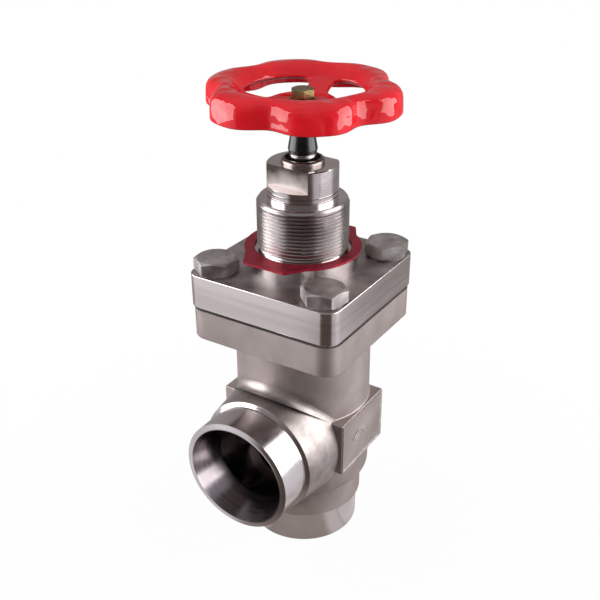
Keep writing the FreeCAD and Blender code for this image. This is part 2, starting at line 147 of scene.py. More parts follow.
studio = {
    "floorSize": 6.0, "floorDrop": 0.00005, "floorWhite": "#B9B7B5", "backgroundShare": 0.97,  # metres
    "leftBox": {"bearing": -90, "distance": 0.62, "height": 0.36, "size": (0.66, 0.70), "watts": 6.9},
    "rightBox": {"bearing": 80, "distance": 0.62, "height": 0.36, "size": (0.70, 0.70), "watts": 6.5},
    # what the metal mirrors all round: bearing from the camera's side in degrees, colour
    "ring": [(-180, "#A39D9D"), (-112, "#A29C9C"), (-96, "#E9E7EC"), (-52, "#E9E6EB"), (-42, "#5A4D4A"),
             (27, "#5A4D4A"), (36, "#CFCACF"), (50, "#D5D1D6"), (54, "#A9A3A5"), (58, "#E9E6EB"),
             (98, "#E4E1E6"), (110, "#9A9494")],
    "ambient": 0.46,  # strength of the world's plain light
    # what the metal mirrors above that ring, by the side, and higher up, by the sine of the elevation
    "skyBack": "#989190", "skyFront": "#8C8687", "skySides": 0.4, "skyFrom": 0.0, "skyTo": 0.3,
    "skyTop": "#C4C0C2", "topFrom": 0.58, "topTo": 0.84,
    # lit floor close round the object in the mirrors, metres from the axis, and the ring's share in it
    "nearFloor": "#CEC3BE", "nearFrom": 0.045, "nearTo": 0.10, "nearRing": 0.5,
    "whiteFrom": 0.05, "whiteTo": 0.20,  # metres from the axis over which the floor's shading fades to white
}


def mirroredRing(tree, place):  # colour by bearing round the object
    ring = studio["ring"]
    parts = addNode(tree, "ShaderNodeSeparateXYZ", None, {0: place}).node.outputs
    bearing = addNode(tree, "ShaderNodeMath", {"operation": "ARCTAN2"}, {0: parts["Y"], 1: parts["X"]})
    front = math.radians(view["azimuth"] - 90)
    turn = addNode(tree, "ShaderNodeMath", {"operation": "MULTIPLY_ADD", 1: 0.5 / math.pi,
                                            2: 0.5 - front * 0.5 / math.pi}, {0: bearing})
    share = addNode(tree, "ShaderNodeMath", {"operation": "FRACT"}, {0: turn})
    ramp = addNode(tree, "ShaderNodeValToRGB", None, {0: share}).node
    stops = ramp.color_ramp.elements
    while len(stops) < len(ring):
        stops.new(0.5)
    for stop, (degrees, shade) in zip(stops, ring):
        stop.position = degrees / 360 + 0.5
        stop.color = colour(shade)
    return ramp.outputs[0]


def makeFloor():
    bm = bmesh.new()
    bmesh.ops.create_grid(bm, x_segments=1, y_segments=1, size=studio["floorSize"] / 2)
    mesh = bpy.data.meshes.new("floor")
    bm.to_mesh(mesh)
    bm.free()
    floor = bpy.data.objects.new("floor", mesh)
    floor.location.z = -studio["floorDrop"]
    bpy.context.scene.collection.objects.link(floor)
    material = bpy.data.materials.new("paleFloor")
    material.use_nodes = True
    tree = material.node_tree
    tree.nodes.remove(tree.nodes["Principled BSDF"])
    place = addNode(tree, "ShaderNodeTexCoord", output="Object")
    ray = tree.nodes.new("ShaderNodeLightPath").outputs
    matt = addNode(tree, "ShaderNodeBsdfDiffuse", {"Color": colour(studio["floorWhite"])})
    away = addNode(tree, "ShaderNodeVectorMath", {"operation": "LENGTH"}, {0: place}, "Value")
    fade = addNode(tree, "ShaderNodeMapRange",
                   {"interpolation_type": "SMOOTHSTEP", "From Min": studio["whiteFrom"],
                    "From Max": studio["whiteTo"], "To Min": studio["backgroundShare"]}, {"Value": away})
    seen = addNode(tree, "ShaderNodeMath", {"operation": "MULTIPLY"}, {0: ray["Is Camera Ray"], 1: fade})
    other = addNode(tree, "ShaderNodeMath", {"operation": "MAXIMUM"},
                    {0: ray["Is Glossy Ray"], 1: ray["Is Transmission Ray"]})
    share = addNode(tree, "ShaderNodeMath", {"operation": "MAXIMUM"}, {0: seen, 1: other})
    reach = addNode(tree, "ShaderNodeMapRange",
                    {"interpolation_type": "SMOOTHSTEP", "From Min": studio["nearFrom"],
                     "From Max": studio["nearTo"], "To Min": studio["nearRing"]}, {"Value": away})
    mirrored = addNode(tree, "ShaderNodeMix", {"data_type": "RGBA", 6: colour(studio["nearFloor"])},
                       {0: reach, 7: mirroredRing(tree, place)}, 2)
    shown = addNode(tree, "ShaderNodeMix", {"data_type": "RGBA", 6: (1, 1, 1, 1)},
                    {0: ray["Is Glossy Ray"], 7: mirrored}, 2)
    white = addNode(tree, "ShaderNodeEmission", None, {"Color": shown})
    both = addNode(tree, "ShaderNodeMixShader", None, {0: share, 1: matt, 2: white})
    tree.links.new(both, tree.nodes["Material Output"].inputs["Surface"])
    mesh.materials.append(material)


def makeSoftBox(name, box):
    bearing = math.radians(view["azimuth"] - 90 + box["bearing"])  # from the camera's side, to the right
    data = bpy.data.lights.new(name, "AREA")
    data.shape = "RECTANGLE"
    data.size, data.size_y = box["size"]
    data.energy = box["watts"]
    lamp = bpy.data.objects.new(name, data)
    bpy.context.scene.collection.objects.link(lamp)
    lamp.location = (math.cos(bearing) * box["distance"], math.sin(bearing) * box["distance"], box["height"])
    aim = Vector((0, 0, box["height"])) - lamp.location
    lamp.rotation_euler = aim.to_track_quat("-Z", "Y").to_euler()


def makeWorld():
    world = bpy.data.worlds.new("studio")
    bpy.context.scene.world = world
    world.use_nodes = True
    tree = world.node_tree
    direction = addNode(tree, "ShaderNodeTexCoord")
    height = addNode(tree, "ShaderNodeSeparateXYZ", None, {0: direction}, "Z")
    ray = tree.nodes.new("ShaderNodeLightPath").outputs
    fade = addNode(tree, "ShaderNodeMapRange",
                   {"interpolation_type": "SMOOTHSTEP", "From Min": studio["skyFrom"],
                    "From Max": studio["skyTo"]}, {"Value": height})
    azimuth = math.radians(view["azimuth"])
    forward = addNode(tree, "ShaderNodeVectorMath",
                      {"operation": "DOT_PRODUCT", 1: (math.sin(azimuth), -math.cos(azimuth), 0)},
                      {0: direction}, "Value")
    sides = studio["skySides"]
    low = blendColours(tree, forward, studio["skyBack"], studio["skyFront"], -sides, sides)
    rise = addNode(tree, "ShaderNodeMapRange", {"From Min": studio["topFrom"], "From Max": studio["topTo"]},
                   {"Value": height})
    sky = addNode(tree, "ShaderNodeMix", {"data_type": "RGBA", 7: colour(studio["skyTop"])},
                  {0: rise, 6: low}, 2)
    mirrored = addNode(tree, "ShaderNodeMix", {"data_type": "RGBA"},
                       {0: fade, 6: mirroredRing(tree, direction), 7: sky}, 2)
    plain = addNode(tree, "ShaderNodeMix", {"data_type": "FLOAT", 2: studio["ambient"], 3: 1.0},
                    {0: ray["Is Camera Ray"]})
    shown = addNode(tree, "ShaderNodeMix", {"data_type": "RGBA"},
                    {0: ray["Is Glossy Ray"], 6: plain, 7: mirrored}, 2)
    tree.links.new(shown, tree.nodes["Background"].inputs["Color"])


makeCamera()
makeFloor()
makeSoftBox("leftSoftBox", studio["leftBox"])
makeSoftBox("rightSoftBox", studio["rightBox"])
makeWorld()
bpy.context.scene.view_settings.view_transform = "Standard"
print("camera, floor and lights set")


# patterns shared by the metals

def axisCoordinates(tree, place, centre, alongY=False):
    # distance from the axis and place along it, in metres
    moved = addNode(tree, "ShaderNodeMapping", {"Location": [-c * mm for c in centre]}, {"Vector": place})
    parts = addNode(tree, "ShaderNodeSeparateXYZ", None, {0: moved}).node.outputs
    across = parts["Z"] if alongY else parts["Y"]
    along = parts["Y"] if alongY else parts["Z"]
    squareX = addNode(tree, "ShaderNodeMath", {"operation": "MULTIPLY"}, {0: parts["X"], 1: parts["X"]})
    square = addNode(tree, "ShaderNodeMath", {"operation": "MULTIPLY_ADD"},
                     {0: across, 1: across, 2: squareX})
    radius = addNode(tree, "ShaderNodeMath", {"operation": "SQRT"}, {0: square})
    return radius, along


# stainless steel, turned on a lathe: fine rings round the axis that stretch the highlights along it; the real
# tool marks are finer than the render shows, so their pitch is drawn coarser
turned = {"dark": "#C4BDBC", "light": "#DAD5D5", "cloud": 14, "pitch": 0.9, "rough": (0.13, 0.22),
          "strength": 0.5, "depth": 0.004}


def turningLines(tree, place, centre, alongY=False):  # tool marks that run round the axis
    radius, along = axisCoordinates(tree, place, centre, alongY)
    spread = addNode(tree, "ShaderNodeCombineXYZ", None, {0: radius, 1: along})
    return addNode(tree, "ShaderNodeTexNoise",
                   {"Scale": grain(turned["pitch"]), "Detail": 3.0, "Roughness": 0.6}, {"Vector": spread})


def makeTurnedSteel(name, shades=(turned["dark"], turned["light"]), rough=turned["rough"]):
    material, tree, surface, place = startMaterial(name)
    lines = turningLines(tree, place, (0, 0, 0))
    cloud = addNode(tree, "ShaderNodeTexNoise", {"Scale": grain(turned["cloud"]), "Detail": 2.0},
                    {"Vector": place})
    bump = addNode(tree, "ShaderNodeBump", {"Strength": turned["strength"], "Distance": turned["depth"] * mm},
                   {"Height": lines})
    surface.inputs["Metallic"].default_value = 1.0
    linkSurface(tree, surface, {
        "Base Color": blendColours(tree, cloud, *shades),
        "Roughness": addNode(tree, "ShaderNodeMapRange", between(*rough), {"Value": lines}),
        "Normal": bump,
    })
    return material


# stainless casting, blasted and pickled: a grey skin with fine grit and soft waves that scatters the light;
# round the branch it is ground smoother, and the weld ends and bores are turned bright, but darkened inside
# the side port's mouth and bore by painted shade
cast = {
    "dark": "#968B88", "light": "#B0A5A2", "rough": (0.46, 0.58), "metallic": 0.78,
    "grit": 0.8, "gritDepth": 0.04, "wave": 7, "waveDepth": 0.06, "cloud": 22, "strength": 0.6,
    "groundDark": "#918986", "groundLight": "#AEA6A3", "groundRough": (0.38, 0.50),
    "groundReach": (34.5, 29.5), "groundFront": (-15.0, -23.0),  # fades in towards the branch's axis and in Y
    # painted shade in the side port: darker turned colours for the mouth's taper, darker still deeper in the
    # bore
    "portShadeDark": "#827B79", "portShadeLight": "#A09997", "mouthShadeDark": "#A6A1A3", "mouthShadeLight": "#C4BFC1",
    "crossing": 52.0, "turnedHeight": 15.7, "turnedReach": -36.3, "bore": 22.6, "mouth": 21.9, "port": 17.6,
}


def makeCastSteel():
    c = cast
    material, tree, surface, place = startMaterial("castStainless")
    parts = addNode(tree, "ShaderNodeSeparateXYZ", None, {0: place}).node.outputs
    grit, wave, cloud = (
        addNode(tree, "ShaderNodeTexNoise", {"Scale": grain(c[size]), "Detail": detail}, {"Vector": place})
        for size, detail in (("grit", 2.0), ("wave", 3.0), ("cloud", 3.0)))
    coarse = addNode(tree, "ShaderNodeBump", {"Strength": c["strength"], "Distance": c["waveDepth"] * mm},
                     {"Height": wave})
    castBump = addNode(tree, "ShaderNodeBump", {"Strength": c["strength"], "Distance": c["gritDepth"] * mm},
                       {"Height": grit, "Normal": coarse})
    branchAxis = (0, 0, c["crossing"])
    radius = axisCoordinates(tree, place, (0, 0, 0))[0]
    sideRadius = axisCoordinates(tree, place, branchAxis, alongY=True)[0]

    # masks: 1 on the turned parts, and on the ground skin
    foot, bore, tip, front, mouth, port = (
        addNode(tree, "ShaderNodeMath", {"operation": "LESS_THAN", 1: limit * mm}, {0: value})
        for value, limit in ((parts["Z"], c["turnedHeight"]), (radius, c["bore"]),
                             (parts["Y"], c["turnedReach"]), (parts["Y"], 0),
                             (sideRadius, c["mouth"]), (sideRadius, c["port"])))
    lowerEnd = addNode(tree, "ShaderNodeMath", {"operation": "MAXIMUM"}, {0: foot, 1: bore})
    opening = addNode(tree, "ShaderNodeMath", {"operation": "MULTIPLY"}, {0: mouth, 1: front})
    sideEnd = addNode(tree, "ShaderNodeMath", {"operation": "MAXIMUM"}, {0: tip, 1: opening})
    machined = addNode(tree, "ShaderNodeMath", {"operation": "MAXIMUM"}, {0: lowerEnd, 1: sideEnd})
    around, forward = (
        addNode(tree, "ShaderNodeMapRange", {"From Min": start * mm, "From Max": end * mm}, {"Value": value})
        for value, (start, end) in ((sideRadius, c["groundReach"]), (parts["Y"], c["groundFront"])))
    ground = addNode(tree, "ShaderNodeMath", {"operation": "MULTIPLY"}, {0: around, 1: forward})
    bare = addNode(tree, "ShaderNodeMath", {"operation": "MAXIMUM"}, {0: machined, 1: ground})

    lines = addNode(tree, "ShaderNodeMix", {"data_type": "FLOAT"}, {
        0: sideEnd, 2: turningLines(tree, place, (0, 0, 0)),
        3: turningLines(tree, place, branchAxis, alongY=True)})
    turnedBump = addNode(tree, "ShaderNodeBump", {"Strength": turned["strength"],
                                                  "Distance": turned["depth"] * mm}, {"Height": lines})
    castColour = addNode(tree, "ShaderNodeMix", {"data_type": "RGBA"}, {
        0: ground, 6: blendColours(tree, cloud, c["dark"], c["light"]),
        7: blendColours(tree, wave, c["groundDark"], c["groundLight"])}, 2)
    turnedColour = blendColours(tree, cloud, turned["dark"], turned["light"])
    # painted shade: the mouth's taper and the port's bore take the darker turned colours
    for inside, dark, light in ((mouth, "mouthShadeDark", "mouthShadeLight"), (port, "portShadeDark", "portShadeLight")):
        turnedColour = addNode(tree, "ShaderNodeMix", {"data_type": "RGBA"}, {
            0: inside, 6: turnedColour, 7: blendColours(tree, cloud, c[dark], c[light])}, 2)
    blastedRough, groundRough, turnedRough = (
        addNode(tree, "ShaderNodeMapRange", between(*rough), {"Value": pattern})
        for pattern, rough in ((grit, c["rough"]), (grit, c["groundRough"]), (lines, turned["rough"])))
    castRough = addNode(tree, "ShaderNodeMix", {"data_type": "FLOAT"},
                        {0: ground, 2: blastedRough, 3: groundRough})
    linkSurface(tree, surface, {
        "Metallic": addNode(tree, "ShaderNodeMapRange", {"To Min": c["metallic"]}, {"Value": bare}),
        "Base Color": addNode(tree, "ShaderNodeMix", {"data_type": "RGBA"},
                              {0: machined, 6: castColour, 7: turnedColour}, 2),
        "Roughness": addNode(tree, "ShaderNodeMix", {"data_type": "FLOAT"},
                             {0: machined, 2: castRough, 3: turnedRough}),
        "Normal": addNode(tree, "ShaderNodeMix", {"data_type": "VECTOR"},
                          {0: machined, 4: castBump, 5: turnedBump}, 1),
    })
    return material


# stainless plate: its sides milled along their length, so they shine in long level streaks, the top pickled
# and duller, with a darker colour that is painted shade; the streaks are drawn coarser than the cutter's own
plate = {
    "sideDark": "#C8C0BD", "sideLight": "#DAD3D0", "rough": (0.17, 0.28), "stretch": (0.03, 0.03, 1.0),
    "line": 0.4, "lineStrength": 0.5, "lineDepth": 0.005, "band": 3.5,
    "topShadeDark": "#8F8887", "topShadeLight": "#B5AFAD", "topRough": (0.40, 0.52), "stain": 9,
    "topFrom": 0.75, "topTo": 0.95,  # how far up a face looks for the top's finish and painted shade to start and be full
}


def makeMilledPlate():
    material, tree, surface, place = startMaterial("milledStainlessShadedTop")
    stretched = addNode(tree, "ShaderNodeMapping", {"Scale": plate["stretch"]}, {"Vector": place})
    lines, bands, stain = (
        addNode(tree, "ShaderNodeTexNoise", {"Scale": grain(plate[size]), "Detail": detail}, {"Vector": at})
        for size, detail, at in (("line", 3.0, stretched), ("band", 2.0, stretched), ("stain", 4.0, place)))
    normal = addNode(tree, "ShaderNodeNewGeometry", output="Normal")
    facing = addNode(tree, "ShaderNodeSeparateXYZ", None, {0: normal}, "Z")
    # painted shade: faces turned upwards take the top's darker colours as well as its duller finish
    top = addNode(tree, "ShaderNodeMapRange", {"From Min": plate["topFrom"], "From Max": plate["topTo"]},
                  {"Value": facing})
    sideRough, topRough = (addNode(tree, "ShaderNodeMapRange", between(*plate[rough]), {"Value": pattern})
                           for pattern, rough in ((lines, "rough"), (stain, "topRough")))
    surface.inputs["Metallic"].default_value = 1.0
    linkSurface(tree, surface, {
        "Base Color": addNode(tree, "ShaderNodeMix", {"data_type": "RGBA"}, {
            0: top, 6: blendColours(tree, bands, plate["sideDark"], plate["sideLight"]),
            7: blendColours(tree, stain, plate["topShadeDark"], plate["topShadeLight"])}, 2),
        "Roughness": addNode(tree, "ShaderNodeMix", {"data_type": "FLOAT"},
                             {0: top, 2: sideRough, 3: topRough}),
        "Normal": addNode(tree, "ShaderNodeBump", {"Strength": plate["lineStrength"],
                                                   "Distance": plate["lineDepth"] * mm}, {"Height": lines}),
    })
    return material


# stainless spanner flats, milled: level and finely streaked; their colour darkens upwards, a painted shade
# for the wheel above
brushed = {
    "dark": "#3A3533", "light": "#A09794", "cloud": 9, "rough": (0.30, 0.44), "stretch": (0.04, 0.04, 1.0),
    "streak": 0.5, "strength": 0.5, "depth": 0.006,
    "low": 161.5, "high": 169.8, "lowShade": 0.34, "highShade": -0.36,
}


def makeBrushedSteel():
    material, tree, surface, place = startMaterial("milledFlatStainlessPaintedShade")
    stretched = addNode(tree, "ShaderNodeMapping", {"Scale": brushed["stretch"]}, {"Vector": place})
    lines = addNode(tree, "ShaderNodeTexNoise", {"Scale": grain(brushed["streak"]), "Detail": 3.0},
                    {"Vector": stretched})
    # painted shade: the colour darkens from the foot of the flats up to their top, under the wheel
    height = addNode(tree, "ShaderNodeSeparateXYZ", None, {0: place}, "Z")
    low = addNode(tree, "ShaderNodeMapRange",
                  {"From Min": brushed["high"] * mm, "From Max": brushed["low"] * mm,
                   "To Min": brushed["highShade"], "To Max": brushed["lowShade"]}, {"Value": height})
    cloud = addNode(tree, "ShaderNodeTexNoise", {"Scale": grain(brushed["cloud"]), "Detail": 3.0},
                    {"Vector": place})
    shade = addNode(tree, "ShaderNodeMath", {"operation": "ADD"}, {0: cloud, 1: low})
    bump = addNode(tree, "ShaderNodeBump", {"Strength": brushed["strength"],
                                            "Distance": brushed["depth"] * mm}, {"Height": lines})
    surface.inputs["Metallic"].default_value = 1.0
    linkSurface(tree, surface, {
        "Base Color": blendColours(tree, shade, brushed["dark"], brushed["light"], 0.2, 0.8),
        "Roughness": addNode(tree, "ShaderNodeMapRange", between(*brushed["rough"]), {"Value": lines}),
        "Normal": bump,
    })
    return material


# stainless bolts, heads formed cold: small dents that break up the highlights, duller than the turned faces
bolt = {"dark": "#A39D9B", "light": "#C6C1BF", "cloud": 5, "rough": (0.38, 0.52), "dent": 1.6,
        "dentStrength": 0.5, "dentDepth": 0.05}


def makeBoltSteel():
    material, tree, surface, place = startMaterial("headedStainless")
    dents, cloud = (
        addNode(tree, "ShaderNodeTexNoise", {"Scale": grain(bolt[size]), "Detail": detail}, {"Vector": place})
        for size, detail in (("dent", 4.0), ("cloud", 3.0)))
    bump = addNode(tree, "ShaderNodeBump",
                   {"Strength": bolt["dentStrength"], "Distance": bolt["dentDepth"] * mm}, {"Height": dents})
    surface.inputs["Metallic"].default_value = 1.0
    linkSurface(tree, surface, {
        "Base Color": blendColours(tree, cloud, bolt["dark"], bolt["light"]),
        "Roughness": addNode(tree, "ShaderNodeMapRange", between(*bolt["rough"]), {"Value": cloud}),
        "Normal": bump,
    })
    return material


# powder coat baked on the cast handwheel: full red under a hard gloss, with slow waves that bend the
# highlights; faces turned downwards are darkened, a painted shade
enamel = {
    "deep": "#C9141F", "full": "#D81D28", "cloud": 16, "rough": (0.30, 0.40), "coat": 0.85, "coatRough": 0.04,
    "peel": 5.0, "peelDepth": 0.8, "runs": 6.0, "runDepth": 2.0, "strength": 0.5,
    "under": "#5E0A10", "underShadeFrom": -0.35, "underShadeTo": -0.75,  # painted shade on downward faces: its colour, and how far down a face looks for it to start and be full
}


def makeRedEnamel():
    e = enamel
    material, tree, surface, place = startMaterial("redPowderCoatShadedUnderside")
    peel = addNode(tree, "ShaderNodeTexNoise", {"Scale": grain(e["peel"]), "Detail": 1.0, "Roughness": 0.3},
                   {"Vector": place})
    cloud = addNode(tree, "ShaderNodeTexNoise", {"Scale": grain(e["cloud"]), "Detail": 2.0},
                    {"Vector": place})
    runs = addNode(tree, "ShaderNodeTexNoise", {"Scale": grain(e["runs"]), "Detail": 0.0}, {"Vector": place})
    coarse = addNode(tree, "ShaderNodeBump", {"Strength": e["strength"], "Distance": e["peelDepth"] * mm},
                     {"Height": peel})
    bump = addNode(tree, "ShaderNodeBump", {"Strength": e["strength"], "Distance": e["runDepth"] * mm},
                   {"Height": runs, "Normal": coarse})
    # painted shade: faces turned downwards blend to the dark red
    normal = addNode(tree, "ShaderNodeNewGeometry", output="Normal")
    facing = addNode(tree, "ShaderNodeSeparateXYZ", None, {0: normal}, "Z")
    under = addNode(tree, "ShaderNodeMapRange", {"From Min": e["underShadeFrom"], "From Max": e["underShadeTo"]},
                    {"Value": facing})
    surface.inputs["Specular IOR Level"].default_value = 0.0
    surface.inputs["Coat Weight"].default_value = e["coat"]
    surface.inputs["Coat Roughness"].default_value = e["coatRough"]
    linkSurface(tree, surface, {
        "Base Color": addNode(tree, "ShaderNodeMix", {"data_type": "RGBA", 7: colour(e["under"])},
                              {0: under, 6: blendColours(tree, cloud, e["deep"], e["full"])}, 2),
        "Roughness": addNode(tree, "ShaderNodeMapRange", between(*e["rough"]), {"Value": peel}),
        "Normal": coarse,
        "Coat Normal": bump,
    })
    return material


# plain finishes: one cloud pattern of a size in millimetres, and a relief eight times as fine
def makePlain(name, dark, light, rough, metallic=0.0, size=4.0, depth=0.02):
    material, tree, surface, place = startMaterial(name)
    cloud = addNode(tree, "ShaderNodeTexNoise", {"Scale": grain(size), "Detail": 4.0}, {"Vector": place})
    fine = addNode(tree, "ShaderNodeTexNoise", {"Scale": grain(size / 8), "Detail": 2.0}, {"Vector": place})
    bump = addNode(tree, "ShaderNodeBump", {"Strength": 0.4, "Distance": depth * mm}, {"Height": fine})
    surface.inputs["Metallic"].default_value = metallic
    linkSurface(tree, surface, {
        "Base Color": blendColours(tree, cloud, dark, light),
        "Roughness": addNode(tree, "ShaderNodeMapRange", between(*rough), {"Value": cloud}),
        "Normal": bump,
    })
    return material


castSteel = makeCastSteel()
turnedSteel = makeTurnedSteel("turnedStainless")
# stainless thread, cut: its colour darker than the turned faces, a painted shade for flanks that mirror each
# other
cutThread = makeTurnedSteel("threadedStainlessPaintedShade", ("#958E8D", "#B6B0AF"), (0.20, 0.28))
# stainless gland, turned fine: its colour darkened, a painted reflection of the wheel's shaded underside
# above it
turnedGland = makeTurnedSteel("glandStainlessPaintedShade", ("#6E6562", "#958C88"), (0.22, 0.32))
milledPlate = makeMilledPlate()
brushedFlat = makeBrushedSteel()
boltSteel = makeBoltSteel()
redEnamel = makeRedEnamel()
# acetal, moulded: near black and even, with a soft shine
blackAcetal = makePlain("mouldedBlackAcetal", "#0A0A0C", "#131316", (0.16, 0.26), size=3.0, depth=0.01)
# aluminium sheet, anodised: crimson with the broad, soft sheen of metal under it
redAluminium = makePlain("anodisedCrimsonAluminium", "#8F1E33", "#A8263C", (0.36, 0.46), 0.7, 5.0)
# steel, zinc plated and passivated: shiny, with yellow and brown clouds
zincYellow = makePlain("passivatedZinc", "#7A6C45", "#9C9168", (0.24, 0.38), 1.0, 2.2)
# rubber, moulded: black and dull
blackRubber = makePlain("mouldedBlackRubber", "#0C0C0C", "#161616", (0.5, 0.65))
# PTFE, turned: white and waxy
ptfe = makePlain("turnedWhitePtfe", "#D8D6CF", "#E6E4DE", (0.35, 0.5))
# graphite, pressed: black and matt, with hardly a highlight
graphite = makePlain("pressedGraphite", "#040404", "#0A0A0B", (0.75, 0.9), size=1.5)
# the casting's raised frame and arrow: paler and smoother than the skin round them
rubbedSteel = makePlain("paleRaisedCastStainless", "#ACA3A0", "#CBC2BF", (0.32, 0.44), 0.9, 3.0, 0.03)

paint("housing", castSteel)
for place in ("front_left", "front_right", "back_right", "back_left"):
    paint("bolt_" + place, boltSteel)
paint("packing_gland", turnedGland)
for nodeName in ("packing_washer", "packing_spring", "spindle", "valve_cone", "ball_plug",
                 "seal_retainer", "retainer_screw", "thrust_pad", "locking_balls"):
    paint(nodeName, turnedSteel)
paint("handwheel", redEnamel)
paint("spindle_sleeve", blackAcetal)
paint("marking_ring", redAluminium)
paint("handwheel_screw", zincYellow)
paint("handwheel_washer", zincYellow)
for nodeName in ("gland_o_ring", "wiper_ring"):
    paint(nodeName, blackRubber)
paint("flange_gasket", graphite)
paint("packing_rings", graphite)
paint("seat_seal_ring", ptfe)
print("materials made")


# bonnet: square plate, turned collar and neck, and the thread for the seal cap

bonnet = {
    "half": 33.9, "corner": 5.6, "low": 113.1, "high": 127.1, "edge": 0.25,
    "guideLow": 90.0, "guide": 12.5, "guideEdge": 1.0, "spigotLow": 104.1, "spigot": 22.45, "spigotEdge": 1.5,
    "sunk": 2.0, "collar": 22.2, "collarHigh": 134.0, "relief": 17.3, "reliefHigh": 134.5,
    "neck": 14.1, "stepHigh": 161.1, "neckHigh": 169.5, "neckInset": 0.02, "flat": 10.0, "flatTurn": -5.2,
    "grooves": (157.0, 158.8), "grooveWidth": 0.6, "grooveDepth": 0.5, "break": 0.35, "smallBreak": 0.1,
    "bore": 8.05, "boreHigh": 139.6, "packingBore": 8.0, "packingLow": 141.0,
    # the thread: rounded root and crest, the slopes of its run-outs at both ends, steps in a turn
    "core": 17.48, "crest": 18.4, "topCrest": 17.3, "threadTop": 155.6, "pitch": 1.5,
    "rootFlat": 0.10, "crestFlat": 0.06, "crestRound": 0.16, "crestDrop": 0.08,
    "startSlope": 1.1, "endSlope": 0.73, "steps": 96,
}


def spinProfile(bm, profile, steps):  # a closed profile of radius and height, turned into a ring
    rim = [bm.verts.new((r * mm, 0, z * mm)) for r, z in profile]
    edges = [bm.edges.new((rim[k], rim[(k + 1) % len(rim)])) for k in range(len(rim))]
    bmesh.ops.spin(bm, geom=rim + edges, cent=(0, 0, 0), axis=(0, 0, 1), angle=2 * math.pi, steps=steps,
                   use_merge=True)
    bmesh.ops.remove_doubles(bm, verts=bm.verts, dist=1e-7)


def makeBonnetPlate():
    b = bonnet
    bm = bmesh.new()
    bmesh.ops.create_cube(bm, size=1.0)
    bmesh.ops.scale(bm, vec=(2 * b["half"] * mm, 2 * b["half"] * mm, (b["high"] - b["low"]) * mm),
                    verts=bm.verts)
    bmesh.ops.translate(bm, vec=(0, 0, (b["high"] + b["low"]) / 2 * mm), verts=bm.verts)
    upright = [e for e in bm.edges if abs(e.verts[0].co.z - e.verts[1].co.z) > 5 * mm]
    bmesh.ops.bevel(bm, geom=upright, offset=b["corner"] * mm, affect="EDGES", segments=10, profile=0.5,
                    material=-1)
    level = [e for e in bm.edges if abs(e.verts[0].co.z - e.verts[1].co.z) < 0.01 * mm]
    bmesh.ops.bevel(bm, geom=level, offset=b["edge"] * mm, affect="EDGES", segments=2, profile=0.5,
                    material=-1)
    return newPiece("bonnetPlate", bm, milledPlate, "valve_body", 12)


def bonnetProfile():  # radius and height: up the outside of guide, spigot, collar and neck, and down the bore
    b = bonnet
    edge, small = b["break"], b["smallBreak"]
    plateHigh = b["high"] - b["sunk"]
    points = [
        (b["bore"], b["guideLow"]), (b["guide"] - b["guideEdge"], b["guideLow"]),
        (b["guide"], b["guideLow"] + b["guideEdge"]), (b["guide"], b["spigotLow"]),
        (b["spigot"] - b["spigotEdge"], b["spigotLow"]), (b["spigot"], b["spigotLow"] + b["spigotEdge"]),
        (b["spigot"], plateHigh), (b["collar"], plateHigh),
        (b["collar"], b["collarHigh"] - edge), (b["collar"] - edge, b["collarHigh"]),
        (b["relief"], b["collarHigh"]), (b["relief"], b["reliefHigh"]),
        (b["core"], b["reliefHigh"] + 3 * small), (b["core"], b["threadTop"] - 2 * small),
        (b["topCrest"] - 2 * small, b["threadTop"]), (b["neck"], b["threadTop"]),
    ]
    for low in b["grooves"]:
        high = low + b["grooveWidth"]
        bottom = b["neck"] - b["grooveDepth"]
        points += [(b["neck"], low), (bottom, low + small), (bottom, high - small), (b["neck"], high)]
    return points + [(b["neck"], b["stepHigh"] - small), (b["neck"] - small, b["stepHigh"]),
                     (b["packingBore"], b["stepHigh"]), (b["packingBore"], b["packingLow"]),
                     (b["bore"], b["boreHigh"])]


def makeBonnetTurned():
    bm = bmesh.new()
    spinProfile(bm, bonnetProfile(), 144)
    return newPiece("bonnetTurned", bm, turnedSteel, "valve_body", 25)


def makeNeckFlats():  # upper neck between its two spanner flats
    b = bonnet
    foot, outer = b["stepHigh"] - b["smallBreak"], b["neck"] - b["neckInset"]
    bm = bmesh.new()
    spinProfile(bm, [(b["packingBore"], foot), (outer, foot), (outer, b["neckHigh"] - b["break"]),
                     (b["neck"] - b["break"], b["neckHigh"]), (b["packingBore"], b["neckHigh"])], 144)
    turn = Matrix.Rotation(math.radians(b["flatTurn"]), 3, "Z")
    for side in (-1, 1):
        outward = turn @ Vector((0, side, 0))
        bmesh.ops.bisect_plane(bm, geom=bm.verts[:] + bm.edges[:] + bm.faces[:], dist=1e-7,
                               plane_co=outward * b["flat"] * mm, plane_no=outward, clear_outer=True)
        rim = [v for v in bm.verts if abs(v.co.dot(outward) - b["flat"] * mm) < 1e-6]
        loop = [e for e in bm.edges if e.verts[0] in rim and e.verts[1] in rim]
        for flat in bmesh.ops.contextual_create(bm, geom=loop)["faces"]:
            flat.material_index = 1  # brushed
    piece = newPiece("bonnetNeck", bm, turnedSteel, "valve_body", 25)
    piece.data.materials.append(brushedFlat)
    return piece


